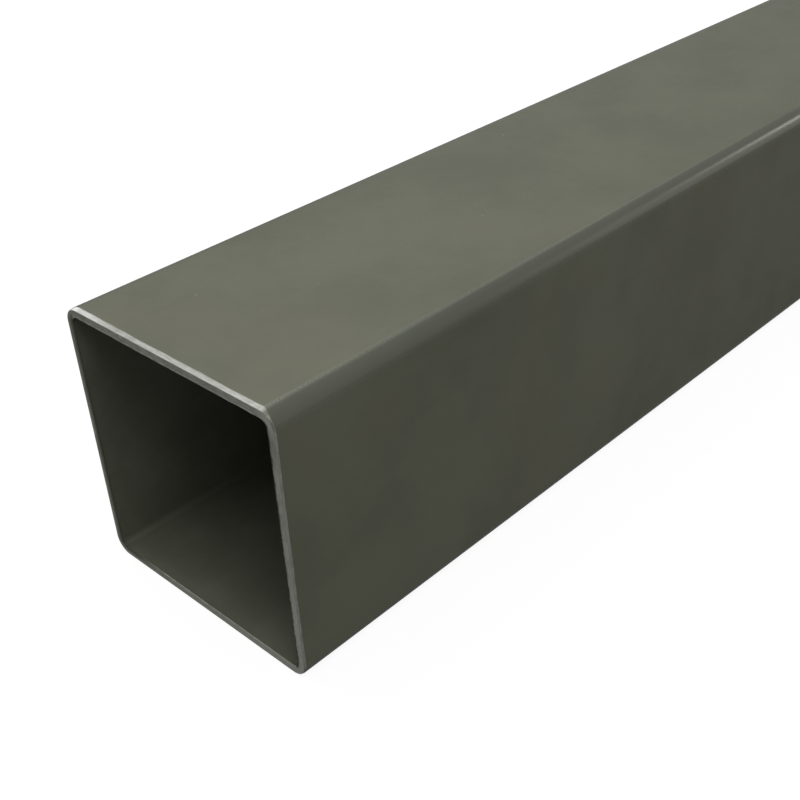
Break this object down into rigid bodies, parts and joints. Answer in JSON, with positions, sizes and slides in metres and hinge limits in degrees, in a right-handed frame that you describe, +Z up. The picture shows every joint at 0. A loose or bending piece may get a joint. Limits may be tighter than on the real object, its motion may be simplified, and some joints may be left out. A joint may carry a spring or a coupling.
{
  "type": "square steel tube",
  "caption": "Straight square hollow section of mild steel with rounded long edges, sawn square at both ends with the upper edges filed, for frames, posts and brackets.",
  "frame": {"origin": "middle of the lower flat, halfway between the two sawn ends, on the floor that the tube lies on", "axes": "+Y along the tube, +Z up out of the lower flat, +X across it"},
  "size_m": [0.1, 1, 0.1],
  "materials": {
    "mild_steel": "dull olive-grey mill finish, with a bare filed edge at the top of each sawn end"
  },
  "bodies": {
    "root": {"square_tube": "mild_steel"}
  },
  "joints": []
}
